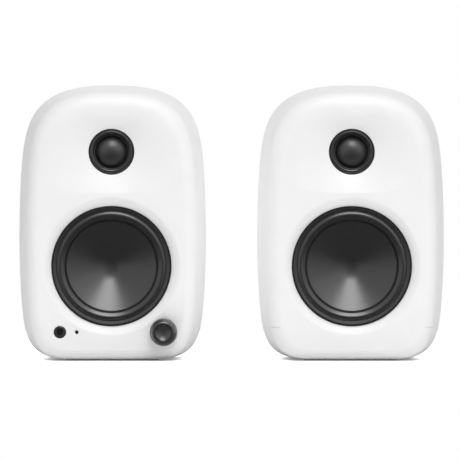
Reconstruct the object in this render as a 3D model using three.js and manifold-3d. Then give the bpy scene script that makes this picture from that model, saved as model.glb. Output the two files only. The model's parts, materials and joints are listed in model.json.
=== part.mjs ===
// A pair of powered desktop speakers: an active one that holds the amplifier and
// the controls, and a passive one that is wired to it.
// Millimetres, +Z up. Both face -Y. Inside each speaker's own group the flat
// front is y = 0, the back is at y = DEPTH, and the table is z = 0.
// A driver's profile is a list of [radius, depth] pairs, turned about its axis.

import * as THREE from 'three';
import { LoftGeometry } from 'three/addons/geometries/LoftGeometry.js';
import { mergeVertices } from 'three/addons/utils/BufferGeometryUtils.js';
import Module from 'manifold-3d';

const wasm = await Module();
wasm.setup();

// ---- driving dimensions ----------------------------------------------------

const SPACING = 148.4; // between the two speakers' centre planes
const HALF_WIDTH = 58.2; // of a cabinet, at its widest
const HEIGHT = 171; // from the table to the top of a cabinet
const DEPTH = 142; // from the flat front to the flat back
const WALL = 3; // cabinet side walls
const FRONT_WALL = 5;
const REAR_WALL = 6;
const GAP = 0.3; // between pieces that touch
const SEAM = 24; // depth of the joint between front and rear shells
const WIDEST = 48; // depth at which the cabinet is widest
const FRONT_FILLET = 8;
const REAR_FILLET = 12;
const KNOB_REACH = 11.3; // how far the knob stands out of the front
const REAR_REACH = 5.4; // how far the line sockets stand out of the back

const PAD = { proud: 0.8, thick: 2.2, halfWidth: 29, front: 28, back: 124 };
const WOOFER = { z: 58.5, opening: 37.1, bevel: 42.5, bevelDepth: 3.6 };
const TWEETER = { z: 129.1, opening: 14.2, bossRadius: 24, bossBack: 9 };
const DISH = { halfWidth: 42, up: 24.4, down: 25, depth: 5 };
const KNOB = { x: 32.2, z: 17.8, baseRadius: 8.5, tipRadius: 8.2, dishRadius: 5.7 };
const JACK = { x: -31.7, z: 17.8, radius: 3.6, bore: 1.8 };
const LIGHT = { x: -21.3, z: 17.8, radius: 0.95 };
const PANEL = { z: 78, width: 72.4, height: 112.4, thick: 2.5, back: DEPTH - 0.6, corner: 7 };
const PORT = { z: 115.5, inner: 11, outer: 13, flange: 17, front: 78 };
const LINE_IN = { x: 22, z: 80.5, pitch: 15, radius: 4.2 };
const USB = { x: 22, z: 58.5, width: 9, height: 3.3 };
const BUTTON = { x: 2, z: 58.5, radius: 2.5, proud: 0.8 };
const INLET = { x: 17, z: 34, width: 22, height: 14 };
const SWITCH = { x: -17, z: 34, width: 19, height: 13, pivot: 138, tilt: -8 };
const TERMINAL = { x: -17, z: 76, width: 26, height: 22, pitch: 14 };

const PANEL_FRONT = PANEL.back - PANEL.thick;
const FLANGE = PANEL.back + GAP; // where fittings that sit on the panel begin
const FACETS = 20; // around a visible turned piece
const INNER_FACETS = 16; // around an internal turned piece

// ---- materials -------------------------------------------------------------

function finish(color, roughness, metalness = 0) {
  return new THREE.MeshStandardMaterial({ color, roughness, metalness });
}

const material = {
  cabinet: finish(0xf1f1f1, 0.45),
  trim: finish(0x191a1b, 0.5),
  knob: finish(0x4b4d4f, 0.55),
  rubber: finish(0x1b1b1c, 0.7),
  cone: finish(0x3a3b3c, 0.5, 0.2),
  silk: finish(0x232324, 0.65),
  pad: finish(0x2a2a2b, 0.9),
  steel: finish(0xb9bcbf, 0.35, 1),
  blackSteel: finish(0x1c1d1e, 0.5),
  ferrite: finish(0x303033, 0.6),
  copper: finish(0xb4713f, 0.4, 1),
  spider: finish(0xc79a4c, 0.8),
  aluminium: finish(0xc9cccf, 0.4, 1),
  board: finish(0x1f5a3a, 0.5),
  winding: finish(0xb08a2c, 0.5),
  red: finish(0xb3221c, 0.4),
  light: finish(0x161616, 0.2),
};

// ---- closed shapes, and cutting and joining them -----------------------------

function solid(geometry) {
  const bare = new THREE.BufferGeometry();
  bare.setAttribute('position', geometry.getAttribute('position'));
  bare.setIndex(geometry.getIndex());
  const merged = mergeVertices(bare, 1e-4);
  const index = merged.getIndex().array;
  const corners = merged.getAttribute('position');
  const [a, b, c] = [new THREE.Vector3(), new THREE.Vector3(), new THREE.Vector3()];
  const triangles = [];
  let volume = 0;
  for (let i = 0; i < index.length; i += 3) {
    const [p, q, r] = index.slice(i, i + 3);
    if (p === q || q === r || r === p) continue;
    triangles.push(p, q, r);
    a.fromBufferAttribute(corners, p);
    b.fromBufferAttribute(corners, q);
    c.fromBufferAttribute(corners, r);
    volume += a.dot(b.cross(c));
  }
  if (volume < 0) triangles.reverse();
  return new wasm.Manifold(new wasm.Mesh({
    numProp: 3,
    vertProperties: new Float32Array(corners.array),
    triVerts: new Uint32Array(triangles),
  }));
}

function surface(body) {
  const { vertProperties, triVerts } = body.getMesh();
  const geometry = new THREE.BufferGeometry();
  geometry.setAttribute('position', new THREE.BufferAttribute(vertProperties, 3));
  geometry.setIndex(new THREE.BufferAttribute(triVerts, 1));
  return geometry;
}

function join(...pieces) {
  return surface(pieces.map(solid).reduce((whole, piece) => whole.add(piece)));
}

function cut(piece, ...tools) {
  return surface(tools.reduce((rest, tool) => rest.subtract(solid(tool)), solid(piece)));
}

// A profile of [radius, depth] pairs turned about the Y axis.
function turned(profile, facets = INNER_FACETS) {
  const points = profile.map(([radius, depth]) => new THREE.Vector2(radius, depth));
  const onAxis = profile[0][0] === 0 && profile.at(-1)[0] === 0;
  if (!onAxis) points.push(points[0].clone());
  return surface(solid(new THREE.LatheGeometry(points, facets)));
}

function disc(radius, front, back, facets = INNER_FACETS) {
  return turned([[0, front], [radius, front], [radius, back], [0, back]], facets);
}

function ring(inner, outer, front, back, facets = INNER_FACETS) {
  return turned([[inner, front], [outer, front], [outer, back], [inner, back]], facets);
}

function rod(radius, front, back, x, z, facets = 16) {
  return disc(radius, front, back, facets).translate(x, 0, z);
}

// A box given by its size and centre in X and Z, and by its two depths.
function block(width, height, front, back, x = 0, z = 0) {
  const box = new THREE.BoxGeometry(width, back - front, height);
  return box.translate(x, (front + back) / 2, z);
}

// An outline in X and Z, drawn as a THREE.Shape, extruded from front to back.
function plate(shape, front, back, x = 0, z = 0, curveSegments = 4) {
  const settings = { depth: back - front, bevelEnabled: false, curveSegments };
  const body = new THREE.ExtrudeGeometry(shape, settings);
  return body.rotateX(Math.PI / 2).translate(x, back, z);
}

function roundedShape(width, height, corner) {
  const [w, h] = [width / 2, height / 2];
  const shape = new THREE.Shape();
  shape.absarc(w - corner, h - corner, corner, 0, Math.PI / 2);
  shape.absarc(corner - w, h - corner, corner, Math.PI / 2, Math.PI);
  shape.absarc(corner - w, corner - h, corner, Math.PI, 1.5 * Math.PI);
  shape.absarc(w - corner, corner - h, corner, 1.5 * Math.PI, 2 * Math.PI);
  return shape;
}

function mesh(name, geometry, finishName, x = 0, z = 0) {
  const piece = new THREE.Mesh(geometry, material[finishName]);
  piece.name = name;
  piece.position.set(x, 0, z);
  return piece;
}

// ---- the cabinet -------------------------------------------------------------

// The front outline, up the left side and down the right: bulging sides that are
// widest below the middle, broad round shoulders and tighter corners at the base.
// The angle steps crowd the points where the outline turns fastest.
function cabinetOutline() {
  const tall = HEIGHT - PAD.proud;
  const waist = 0.439 * tall;
  const right = [];
  for (let step = 6; step > 0; step--) {
    const angle = (step / 6) * (Math.PI / 2);
    const fall = Math.sin(angle) ** 0.2;
    const width = (1 - 0.09 * fall ** 2) * (0.58 + 0.42 * Math.cos(angle));
    right.push([HALF_WIDTH * width, waist * (1 - fall)]);
  }
  for (let step = 0; step < 8; step++) {
    const angle = (step / 8) * (Math.PI / 2);
    const rise = Math.sin(angle) ** (2 / 7);
    const width = (1 - 0.1 * rise ** 2) * Math.cos(angle) ** 0.8;
    right.push([HALF_WIDTH * width, waist + (tall - waist) * rise]);
  }
  const left = right.map(([x, z]) => [-x, z]);
  return [...left, [0, tall], ...right.reverse()];
}

const OUTLINE = cabinetOutline();

// How much of a quarter round has been passed at this distance from its flat.
function quarterRound(distance, radius) {
  const left = Math.max(0, 1 - distance / radius);
  return Math.sqrt(1 - left * left);
}

// The outline at one depth: drawn in at the front, widest at WIDEST, a little
// narrower at the back, with a round edge to the flat front and to the flat back.
function section(depth, wall = 0) {
  const forward = Math.max(0, 1 - depth / WIDEST) ** 1.3;
  const rearward = Math.max(0, (depth - WIDEST) / (DEPTH - WIDEST)) ** 1.6;
  const front = 1 - quarterRound(depth, FRONT_FILLET);
  const rear = 1 - quarterRound(DEPTH - depth, REAR_FILLET);
  const side = 6.4 * front + 12 * rear + wall;
  const top = 9.5 * front + 12 * rear + wall;
  const lift = 6 * front + 10 * rear + wall;
  const wide = 1 - 0.115 * forward - 0.05 * rearward - side / HALF_WIDTH;
  const tall = 1 - 0.038 * forward - 0.02 * rearward - (top + lift) / HEIGHT;
  return OUTLINE.map(([x, z]) => new THREE.Vector3(x * wide, depth, PAD.proud + lift + z * tall));
}

function cabinetLoft(depths, wall = 0) {
  return new LoftGeometry(depths.map((depth) => section(depth, wall)), { capStart: true, capEnd: true });
}

// The inside of the shell, with flat ends at the two depths given.
function cavityLoft(front, depths, back) {
  const sections = depths.map((depth) => section(depth, WALL));
  const first = sections[0].map((point) => point.clone().setY(front));
  const last = sections.at(-1).map((point) => point.clone().setY(back));
  return new LoftGeometry([first, ...sections, last], { capStart: true, capEnd: true });
}

// How far the dish reaches from the tweeter's axis at an angle: an oval whose
// lower edge is nearly straight.
function dishEdge(angle) {
  const [c, s] = [Math.abs(Math.cos(angle)), Math.sin(angle)];
  const [height, power] = s > 0 ? [DISH.up, 2.2] : [DISH.down, 3.2];
  return ((c / DISH.halfWidth) ** power + (Math.abs(s) / height) ** power) ** (-1 / power);
}

// The shallow dish around the tweeter, as the solid that is cut away.
function dishTool() {
  const sections = [];
  const throat = TWEETER.opening;
  for (const reach of [0, 0.2, 0.45, 0.7, 1, 1.001]) {
    const left = Math.max(0, 1 - reach);
    const depth = reach > 1 ? -1 : DISH.depth * (0.3 * left + 0.7 * left * left);
    const points = [];
    for (let step = 0; step < FACETS; step++) {
      const angle = (step / FACETS) * 2 * Math.PI;
      const radius = throat + (dishEdge(angle) - throat) * Math.min(reach, 1);
      const [x, z] = [radius * Math.cos(angle), radius * Math.sin(angle)];
      points.push(new THREE.Vector3(x, depth, TWEETER.z + z));
    }
    sections.push(points);
  }
  return new LoftGeometry(sections, { capStart: true, capEnd: true });
}

function frontBaffle(active) {
  const outer = cabinetLoft([0, 0.8, 3, FRONT_FILLET, 16, SEAM]);
  const cavity = cavityLoft(FRONT_WALL, [FRONT_FILLET, SEAM + 1], SEAM + 2);
  const boss = rod(TWEETER.bossRadius, FRONT_WALL - 1, TWEETER.bossBack, 0, TWEETER.z, FACETS);
  const { opening, bevel, bevelDepth } = WOOFER;
  const woofer = turned([
    [0, -1], [bevel, -1], [bevel, 0], [bevel - 3.2, bevelDepth * 0.3], [opening, bevelDepth],
    [opening, FRONT_WALL + 1], [0, FRONT_WALL + 1],
  ], FACETS).translate(0, 0, WOOFER.z);
  const tweeter = rod(TWEETER.opening, -1, TWEETER.bossBack + 1, 0, TWEETER.z, FACETS);
  const holes = [dishTool(), woofer, tweeter];
  if (active) {
    holes.push(rod(3.5, -1, FRONT_WALL + 1, KNOB.x, KNOB.z));
    holes.push(rod(JACK.radius + GAP, -1, FRONT_WALL + 1, JACK.x, JACK.z));
    holes.push(rod(LIGHT.radius + GAP, -1, FRONT_WALL + 1, LIGHT.x, LIGHT.z, 12));
  }
  return cut(join(cut(outer, cavity), boss), ...holes);
}

function rearCabinet() {
  const seam = SEAM + GAP;
  const outer = cabinetLoft([seam, WIDEST, 90, 130, 134, 139, DEPTH]);
  const inside = DEPTH - REAR_WALL;
  const cavity = cavityLoft(seam - 1, [seam, WIDEST, 90, 128], inside);
  const { width, height, corner, z } = PANEL;
  const recess = roundedShape(width + 2 * GAP, height + 2 * GAP, corner + GAP);
  const opening = roundedShape(width - 6.4, height - 6.4, corner - 3);
  const padDepth = PAD.thick - PAD.proud + GAP;
  const padLength = PAD.back - PAD.front + 2 * GAP;
  const pocket = new THREE.BoxGeometry(2 * (PAD.halfWidth + GAP), padLength, 2 * padDepth);
  pocket.translate(0, (PAD.front + PAD.back) / 2, PAD.proud);
  return cut(
    cut(outer, cavity),
    plate(recess, PANEL_FRONT - GAP, DEPTH + 1, 0, z),
    plate(opening, inside - 1, DEPTH + 1, 0, z),
    pocket,
  );
}

function basePad() {
  const shape = roundedShape(2 * PAD.halfWidth, PAD.back - PAD.front, 8);
  const settings = { depth: PAD.thick, bevelEnabled: false, curveSegments: 3 };
  return new THREE.ExtrudeGeometry(shape, settings).translate(0, (PAD.front + PAD.back) / 2, 0);
}

function screwHoles() {
  const [x, z] = [PANEL.width / 2 - 4, PANEL.height / 2 - 4];
  const corners = [[-x, -z], [x, -z], [x, z], [-x, z]];
  return corners.map(([dx, dz]) => rod(1.7, PANEL_FRONT - 1, DEPTH + 1, dx, PANEL.z + dz, 8));
}

function rearPanel(...fittings) {
  const shape = roundedShape(PANEL.width, PANEL.height, PANEL.corner);
  const port = rod(PORT.outer + GAP, PANEL_FRONT - 1, DEPTH + 1, 0, PORT.z);
  return cut(plate(shape, PANEL_FRONT, PANEL.back, 0, PANEL.z), port, ...screwHoles(), ...fittings);
}

// A rectangular hole through the panel for a fitting's body.
function panelHole({ x, z, width, height }) {
  const clear = 2 * GAP;
  return block(width + clear, height + clear, PANEL_FRONT - 1, DEPTH + 1, x, z);
}

function bassPort() {
  const { inner, outer, flange, front } = PORT;
  return turned([
    [inner, front + 3], [inner + 1.6, front], [outer, front + 0.6], [outer, FLANGE],
    [flange, FLANGE], [flange - 0.6, FLANGE + 1.7], [flange - 2, FLANGE + 1.7],
    [inner + 1.4, FLANGE - 1.5], [inner, FLANGE - 6],
  ], 16);
}

// ---- the woofer --------------------------------------------------------------

function wooferBasket() {
  const body = turned([
    [34.9, 5.3], [41, 5.3], [41, 8.3], [36.6, 8.3], [30.4, 21], [29.4, 23],
    [20, 23], [20, 21.4], [28.3, 21.2], [28.9, 19.5], [34.9, 7.6],
  ], 18);
  const windows = [];
  for (let step = 0; step < 6; step++) {
    const window = new THREE.BoxGeometry(18, 7.5, 20);
    window.translate(0, 14, 35).rotateY((step / 6) * 2 * Math.PI);
    windows.push(window);
  }
  return cut(body, ...windows);
}

// A half-roll rubber edge with an inner lip on the cone and a raised outer lip.
function wooferSurround() {
  const roll = (radius, steps) => {
    const points = [];
    for (let step = 0; step <= steps; step++) {
      const angle = Math.PI * (1 - step / steps);
      points.push([31.6 + radius * Math.cos(angle), 4.7 - radius * Math.sin(angle)]);
    }
    return points;
  };
  return turned([
    [27.2, 4.7], ...roll(3.1, 4), [36.3, 3.3], [36.3, 5], [34.3, 5], ...roll(2.4, 3).reverse(),
    [28.6, 5.2], [27.2, 5.2],
  ], 20);
}

// A one-piece dished cone: straight sides down to the coil, round in the middle.
function wooferCone() {
  const [rim, neck, slope, thick] = [27.8, 13.6, 0.53, 0.8];
  const face = (radius) => {
    const straight = 5.6 + slope * (rim - Math.max(radius, neck));
    return straight + (slope * (neck ** 2 - Math.min(radius, neck) ** 2)) / (2 * neck);
  };
  const stations = [0, 5, 10, neck, rim];
  const front = stations.map((radius) => [radius, face(radius)]);
  const back = stations.map((radius) => [radius, face(radius) + thick]).reverse();
  return turned([...front, ...back], FACETS);
}

function voiceCoil() {
  return turned([
    [12.5, 14.8], [13, 14.8], [13, 24], [13.6, 24], [13.6, 31], [13, 31], [13, 33], [12.5, 33],
  ]);
}

// A corrugated disc that keeps the coil centred in the gap.
function wooferSpider() {
  const ridges = [];
  for (let step = 0; step <= 5; step++) {
    ridges.push([13.4 + 2.88 * step, step % 2 ? 20.2 : 19.6]);
  }
  const back = ridges.map(([radius, depth]) => [radius, depth + 0.5]).reverse();
  return turned([...ridges, ...back], 16);
}

function wooferYoke() {
  return turned([[0, 23.3], [11.9, 23.3], [11.9, 38.9], [27, 38.9], [27, 43.4], [0, 43.4]]);
}

// ---- the tweeter -------------------------------------------------------------

// A flange behind the front's boss, with a rounded bead standing up around the dome.
function tweeterFaceplate() {
  return turned([
    [11.6, 7.8], [10.95, 7.4], [10.95, 6.75], [11.3, 5.9], [12.15, 5.55], [13, 5.9],
    [13.35, 6.75], [13.9, 7.3], [13.9, 9.3], [19, 9.3], [19, 11.3], [11.6, 11.3],
  ], FACETS);
}

function tweeterSurround() {
  return turned([[9.3, 8.2], [10.3, 8.7], [11.3, 8.2], [11.3, 8.8], [10.3, 9.2], [9.3, 8.8]]);
}

function tweeterDome() {
  return turned([
    [0, 2.8], [3.2, 3.3], [6.2, 4.9], [8.1, 6.6], [9, 8.1], [9, 14], [8.6, 14], [8.6, 8.5],
    [7.8, 7.1], [6, 5.4], [3.1, 3.8], [0, 3.3],
  ]);
}

function tweeterMotor() {
  return turned([
    [0, 11.6], [8.2, 11.6], [8.2, 18], [9.4, 18], [9.4, 11.6], [14, 11.6], [14, 22], [0, 22],
  ]);
}

function tweeterChamber() {
  return turned([[0, 32.2], [12.2, 32.2], [12.2, 22.3], [14, 22.3], [14, 34], [0, 34]], 16);
}

// ---- the active speaker's front controls ---------------------------------------

// Nearly straight sides, a broad round shoulder and a dished end.
function volumeKnob() {
  const { baseRadius, tipRadius, dishRadius } = KNOB;
  const front = -KNOB_REACH;
  return turned([
    [0, front + 2.4], [3.3, front + 2.4], [3.3, -0.8], [baseRadius, -0.8], [baseRadius, -2],
    [tipRadius, front + 3.6], [tipRadius - 0.65, front + 1.3], [tipRadius - 1.75, front + 0.2],
    [dishRadius, front], [3, front + 1], [0, front + 1.4],
  ], FACETS);
}

function encoderBody() {
  const [front, back, cavity] = [6, 13.9, 12.4];
  const bore = turned([
    [0, front - 1], [3.3, front - 1], [3.3, 7.4], [4.6, 7.4], [4.6, cavity], [0, cavity],
  ], 16);
  return cut(block(12, 12, front, back), bore);
}

function headphoneJack() {
  const barrel = turned([
    [0, 0.6], [JACK.radius - 0.6, 0], [JACK.radius, 0.6], [JACK.radius, 7], [0, 7],
  ], 16);
  return cut(join(barrel, block(10, 12, 6, 13.9)), disc(JACK.bore, -1, 12.5, 12));
}

function lightPipe() {
  const { radius } = LIGHT;
  return turned([
    [0, 0.2], [radius, 0.2], [radius, 6], [radius + 0.8, 6], [radius + 0.8, 13.9], [0, 13.9],
  ], 12);
}

// ---- electronics ---------------------------------------------------------------

function controlBoard() {
  return plate(roundedShape(76, 16, 2), 14.3, 15.9, 0, 16, 3);
}

// The board's own parts are joined to it: reservoir capacitors and two coils.
function amplifierBoard() {
  const [front, back] = [112, 113.6];
  const capacitors = [-20, -8, 4].map((x) => rod(4.5, back - 0.5, back + 10, x, 60, 12));
  const coils = [-18, -4].map((x) => block(10, 10, back - 0.5, back + 6, x, 88));
  return join(block(60, 58, front, back, 0, 69), ...capacitors, ...coils);
}

// A comb of fins that point forward from a flat base.
function heatsink() {
  const [halfWidth, pitch, fin, base, tip] = [26, 6.3, 1.6, 3, 13.4];
  const comb = new THREE.Shape();
  comb.moveTo(-halfWidth, 0);
  comb.lineTo(halfWidth, 0);
  for (let x = halfWidth; x > -halfWidth; x -= pitch) {
    comb.lineTo(x, tip);
    comb.lineTo(x - fin, tip);
    if (x - pitch < -halfWidth) break;
    comb.lineTo(x - fin, base);
    comb.lineTo(x - pitch, base);
  }
  const body = new THREE.ExtrudeGeometry(comb, { depth: 40, bevelEnabled: false });
  return body.rotateX(Math.PI).translate(0, 111.7, 95);
}

// A toroidal winding lying flat on the floor of the cabinet.
function powerTransformer() {
  return turned([[9, 5], [25, 5], [27, 8], [27, 25], [25, 28], [9, 28], [8, 25], [8, 8]], INNER_FACETS)
    .rotateX(Math.PI / 2)
    .translate(0, 84, 0);
}

function inputBoard() {
  const [front, back] = [126.6, 128.2];
  const board = block(34, 54, front, back, 14, 73);
  return join(board, block(6, 6, back - 0.5, 134.4, BUTTON.x, BUTTON.z));
}

function crossoverBoard() {
  const [front, back] = [118, 119.6];
  const coil = ring(5, 11, front - 9, front + 0.5, 16).translate(-14, 0, 84);
  const capacitors = [10, 22].map((x) => rod(4.5, front - 14, front + 0.5, x, 84, 12));
  return join(block(62, 46, front, back, 0, 76), coil, ...capacitors);
}

// ---- fittings on the rear panels -------------------------------------------------

function powerInlet() {
  const { width, height } = INLET;
  const [floor, face] = [134.3, FLANGE + 1.6];
  const body = join(
    plate(roundedShape(width + 5, height + 3, 2), FLANGE, face, 0, 0, 2),
    block(width, height, 126, FLANGE + 0.5),
  );
  const well = plate(roundedShape(16.6, 9.4, 4.6), floor, face + 1);
  const pins = [-4.3, 4.3].map((x) => rod(1.2, floor - 1, face - 1.5, x, 0, 8));
  return join(cut(body, well), ...pins);
}

function switchFrame() {
  const { width, height, pivot } = SWITCH;
  const body = join(
    plate(roundedShape(width + 2, height + 2, 2), FLANGE, FLANGE + 1.6, 0, 0, 2),
    block(width, height, 128, FLANGE + 0.5),
  );
  const pins = new THREE.CylinderGeometry(1.3, 1.3, height + 4, 10);
  pins.rotateX(Math.PI / 2).translate(0, pivot, 0);
  return cut(body, block(16.6, 10.6, 131, FLANGE + 3), pins);
}

// A shallow V-faced rocker on two stub pins. It rocks about a vertical axis, and
// is drawn here about that axis: X across, Y outward.
function powerRocker() {
  const side = new THREE.Shape();
  side.moveTo(-5, -2.5);
  [[5, -2.5], [7.4, 1], [7.4, 4.2], [0, 3.1], [-7.4, 4.2], [-7.4, 1]].forEach(([x, y]) => side.lineTo(x, y));
  const body = new THREE.ExtrudeGeometry(side, { depth: 10, bevelEnabled: false }).translate(0, 0, -5);
  const pins = new THREE.CylinderGeometry(1, 1, 12.2, 10).rotateX(Math.PI / 2);
  return join(body, pins);
}

function lineInputSockets() {
  const { radius, pitch } = LINE_IN;
  const end = DEPTH + REAR_REACH;
  const barrels = [-pitch / 2, pitch / 2].map((z) => rod(radius, 138, end, 0, z, 12));
  const bores = [-pitch / 2, pitch / 2].map((z) => rod(1.7, end - 8, end + 1, 0, z, 8));
  return cut(join(block(13, 29, 128.5, PANEL_FRONT - GAP), ...barrels), ...bores);
}

function usbSocket() {
  const { width, height } = USB;
  const [front, face] = [131, PANEL.back - 0.2];
  const shell = plate(roundedShape(width, height, 1.4), front, face, 0, 0, 3);
  const well = plate(roundedShape(width - 0.8, height - 0.8, 1), front + 4, face + 1, 0, 0, 3);
  return join(cut(shell, well), block(width - 2.6, 0.7, front + 3, face - 0.8));
}

function pairingButton() {
  const { radius, proud } = BUTTON;
  const face = PANEL.back + proud;
  return turned([
    [0, 135.4], [radius + 0.9, 135.4], [radius + 0.9, 137], [radius, 137],
    [radius, face - 0.4], [radius - 0.4, face], [0, face],
  ], 16);
}

// A two-way spring terminal block: a pocket for each lever, a wire hole below.
function terminalBlock() {
  const { width, height, pitch } = TERMINAL;
  const body = join(
    plate(roundedShape(width + 5, height + 4, 2), FLANGE, FLANGE + 1.8, 0, 0, 2),
    block(width, height, 126, FLANGE + 0.5),
  );
  const tools = [-pitch / 2, pitch / 2].flatMap((x) => [
    block(9.6, 11.9, 136.2, FLANGE + 3, x, 4),
    rod(1.6, 134, FLANGE + 3, x, -6.5, 10),
  ]);
  return cut(body, ...tools);
}

// A lever's side view about its hinge, which lies along X: Y outward, Z up.
function terminalLever() {
  const side = new THREE.Shape();
  side.moveTo(-1.6, -1.6);
  [[3, -8.4], [4.6, -7.6], [1.6, 1.3], [-1.6, 1.3]].forEach(([y, z]) => side.lineTo(y, z));
  const body = new THREE.ExtrudeGeometry(side, { depth: 9, bevelEnabled: false });
  return body.translate(0, 0, -4.5).applyMatrix4(new THREE.Matrix4().set(
    0, 0, 1, 0,
    1, 0, 0, 0,
    0, 1, 0, 0,
    0, 0, 0, 1,
  ));
}

// ---- assembly --------------------------------------------------------------------

// Pieces that both speakers have. `label` starts every node's name.
function speakerPieces(label, active) {
  const at = { woofer: WOOFER.z, tweeter: TWEETER.z };
  const piece = (name, geometry, finishName, z = 0) => mesh(`${label}_${name}`, geometry, finishName, 0, z);
  return [
    piece('front_baffle', frontBaffle(active), 'cabinet'),
    piece('rear_cabinet', rearCabinet(), 'cabinet'),
    piece('base_pad', basePad(), 'pad'),
    piece('bass_port', bassPort(), 'trim', PORT.z),
    piece('woofer_basket', wooferBasket(), 'blackSteel', at.woofer),
    piece('woofer_surround', wooferSurround(), 'rubber', at.woofer),
    piece('woofer_cone', wooferCone(), 'cone', at.woofer),
    piece('woofer_voice_coil', voiceCoil(), 'copper', at.woofer),
    piece('woofer_spider', wooferSpider(), 'spider', at.woofer),
    piece('woofer_top_plate', ring(13.9, 27, 23.3, 27.3), 'steel', at.woofer),
    piece('woofer_magnet', ring(16, 29, 27.6, 38.6), 'ferrite', at.woofer),
    piece('woofer_yoke', wooferYoke(), 'steel', at.woofer),
    piece('tweeter_faceplate', tweeterFaceplate(), 'trim', at.tweeter),
    piece('tweeter_surround', tweeterSurround(), 'rubber', at.tweeter),
    piece('tweeter_dome', tweeterDome(), 'silk', at.tweeter),
    piece('tweeter_motor', tweeterMotor(), 'steel', at.tweeter),
    piece('tweeter_chamber', tweeterChamber(), 'trim', at.tweeter),
  ];
}

function terminalPieces(label, { x, z }) {
  const hinge = 7.6;
  const levers = [['black', -1, 'trim'], ['red', 1, 'red']].map(([colour, side, finishName]) => {
    const name = `${label}_${colour}_terminal_lever`;
    const lever = mesh(name, terminalLever(), finishName, x + (side * TERMINAL.pitch) / 2, z + hinge);
    lever.position.y = 139;
    return lever;
  });
  return [mesh(`${label}_terminal_block`, terminalBlock(), 'trim', x, z), ...levers];
}

function volumePieces() {
  const { x, z } = KNOB;
  return [
    mesh('volume_knob', volumeKnob(), 'knob', x, z),
    mesh('volume_shaft', disc(3, 2.7 - KNOB_REACH, 11.5, 16), 'steel', x, z),
    mesh('encoder_rotor', ring(3.3, 4.3, 7.7, 12.1, 16), 'trim', x, z),
    mesh('encoder_body', encoderBody(), 'aluminium', x, z),
  ];
}

function rockerPiece() {
  const rocker = mesh('power_rocker', powerRocker(), 'trim', SWITCH.x, SWITCH.z);
  rocker.position.y = SWITCH.pivot;
  rocker.rotation.z = THREE.MathUtils.degToRad(SWITCH.tilt);
  return rocker;
}

function activeSpeaker() {
  const group = new THREE.Group();
  const lineHoles = [-0.5, 0.5].map((side) => (
    rod(LINE_IN.radius + GAP, PANEL_FRONT - 1, DEPTH + 1, LINE_IN.x, LINE_IN.z + side * LINE_IN.pitch, 12)
  ));
  const buttonHole = rod(BUTTON.radius + GAP, PANEL_FRONT - 1, DEPTH + 1, BUTTON.x, BUTTON.z, 16);
  const bodies = [USB, INLET, SWITCH, TERMINAL].map(panelHole);
  group.add(
    ...speakerPieces('active', true),
    mesh('active_rear_panel', rearPanel(...lineHoles, buttonHole, ...bodies), 'trim'),
    ...volumePieces(),
    mesh('headphone_jack', headphoneJack(), 'trim', JACK.x, JACK.z),
    mesh('status_light_pipe', lightPipe(), 'light', LIGHT.x, LIGHT.z),
    mesh('control_board', controlBoard(), 'board'),
    mesh('amplifier_board', amplifierBoard(), 'board'),
    mesh('heatsink', heatsink(), 'aluminium'),
    mesh('power_transformer', powerTransformer(), 'winding'),
    mesh('power_inlet', powerInlet(), 'trim', INLET.x, INLET.z),
    mesh('power_switch_frame', switchFrame(), 'trim', SWITCH.x, SWITCH.z),
    rockerPiece(),
    mesh('line_input_sockets', lineInputSockets(), 'trim', LINE_IN.x, LINE_IN.z),
    mesh('usb_socket', usbSocket(), 'steel', USB.x, USB.z),
    mesh('pairing_button', pairingButton(), 'trim', BUTTON.x, BUTTON.z),
    mesh('input_board', inputBoard(), 'board'),
    ...terminalPieces('active', TERMINAL),
  );
  return group;
}

function passiveSpeaker() {
  const group = new THREE.Group();
  const terminal = { ...TERMINAL, x: 0 };
  group.add(
    ...speakerPieces('passive', false),
    mesh('passive_rear_panel', rearPanel(panelHole(terminal)), 'trim'),
    mesh('crossover_board', crossoverBoard(), 'board'),
    ...terminalPieces('passive', terminal),
  );
  return group;
}

// The pair stands with its middle, from knob to sockets, over the origin.
const middle = (DEPTH + REAR_REACH - KNOB_REACH) / 2;
const speakers = new THREE.Group();
const active = activeSpeaker();
const passive = passiveSpeaker();
active.position.set(-SPACING / 2, -middle, 0);
passive.position.set(SPACING / 2, -middle, 0);
speakers.add(active, passive);

export default speakers;
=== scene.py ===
"""The looks of a pair of powered desktop speakers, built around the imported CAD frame."""
import json
import math

import bmesh
import bpy
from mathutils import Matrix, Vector
from mathutils.geometry import tessellate_polygon


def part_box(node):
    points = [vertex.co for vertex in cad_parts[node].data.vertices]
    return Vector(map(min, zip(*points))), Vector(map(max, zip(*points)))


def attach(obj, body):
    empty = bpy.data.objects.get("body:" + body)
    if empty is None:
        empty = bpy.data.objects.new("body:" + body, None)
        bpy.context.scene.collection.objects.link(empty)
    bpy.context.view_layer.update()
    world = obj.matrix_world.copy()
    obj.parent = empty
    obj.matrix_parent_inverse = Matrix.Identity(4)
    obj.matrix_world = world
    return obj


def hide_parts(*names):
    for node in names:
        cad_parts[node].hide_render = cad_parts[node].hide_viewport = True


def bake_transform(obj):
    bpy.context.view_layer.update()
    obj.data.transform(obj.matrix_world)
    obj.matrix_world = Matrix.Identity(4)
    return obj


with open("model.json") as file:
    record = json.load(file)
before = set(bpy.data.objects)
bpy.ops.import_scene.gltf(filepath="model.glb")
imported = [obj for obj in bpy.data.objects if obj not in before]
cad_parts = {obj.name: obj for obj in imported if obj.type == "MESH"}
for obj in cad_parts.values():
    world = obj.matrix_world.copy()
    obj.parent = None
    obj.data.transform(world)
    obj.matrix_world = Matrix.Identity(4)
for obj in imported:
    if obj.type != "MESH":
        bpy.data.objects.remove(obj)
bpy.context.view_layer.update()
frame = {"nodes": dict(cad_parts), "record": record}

# Sizes are in millimetres. Each speaker is drawn in its own frame: x from its
# middle, y (depth) back from its flat front, z up from the table.
MM = 0.001
LABELS = ("active", "passive")


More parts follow.
